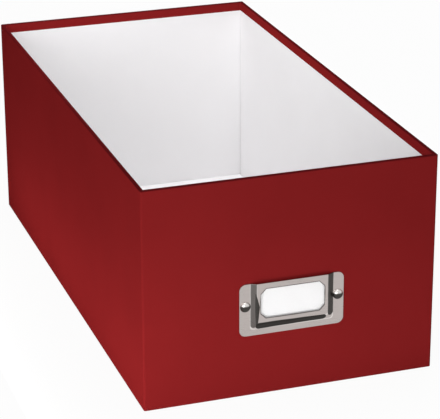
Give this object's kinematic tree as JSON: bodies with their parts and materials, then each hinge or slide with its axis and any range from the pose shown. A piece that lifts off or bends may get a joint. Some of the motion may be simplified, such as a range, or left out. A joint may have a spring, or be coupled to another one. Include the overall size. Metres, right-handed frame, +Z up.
{
  "type": "photo storage box",
  "caption": "Open-topped paper-covered cardboard box for photo prints, lined in white, with a stamped metal label holder, two brads and a slide-out blank card on its front wall.",
  "frame": {"origin": "middle of the box's underside, between its outer walls", "axes": "+X along the front wall to the right as seen from the front, +Y from the front wall to the back wall, +Z up to the open rim"},
  "size_m": [0.16, 0.3077, 0.121],
  "materials": {
    "grey_board": "matt grey board",
    "stay_paper": "matt brown gummed paper",
    "red_paper": "satin dark red paper",
    "white_paper": "smooth white paper",
    "nickel_plate": "satin nickel plate",
    "white_card": "smooth white card"
  },
  "bodies": {
    "box": {"box_board": "grey_board", "corner_stay_front_left": "stay_paper", "corner_stay_front_right": "stay_paper", "corner_stay_back_left": "stay_paper", "corner_stay_back_right": "stay_paper", "side_wrap": "red_paper", "base_sheet": "red_paper", "wall_liner": "white_paper", "floor_liner": "white_paper", "label_holder": "nickel_plate", "brad_left": "nickel_plate", "brad_right": "nickel_plate"},
    "card": {"label_card": "white_card"}
  },
  "joints": [
    {"name": "card_slide", "type": "slide", "parent": "box", "child": "card", "axis": [0, 0, 1], "range_m": [0, 0.026]}
  ]
}
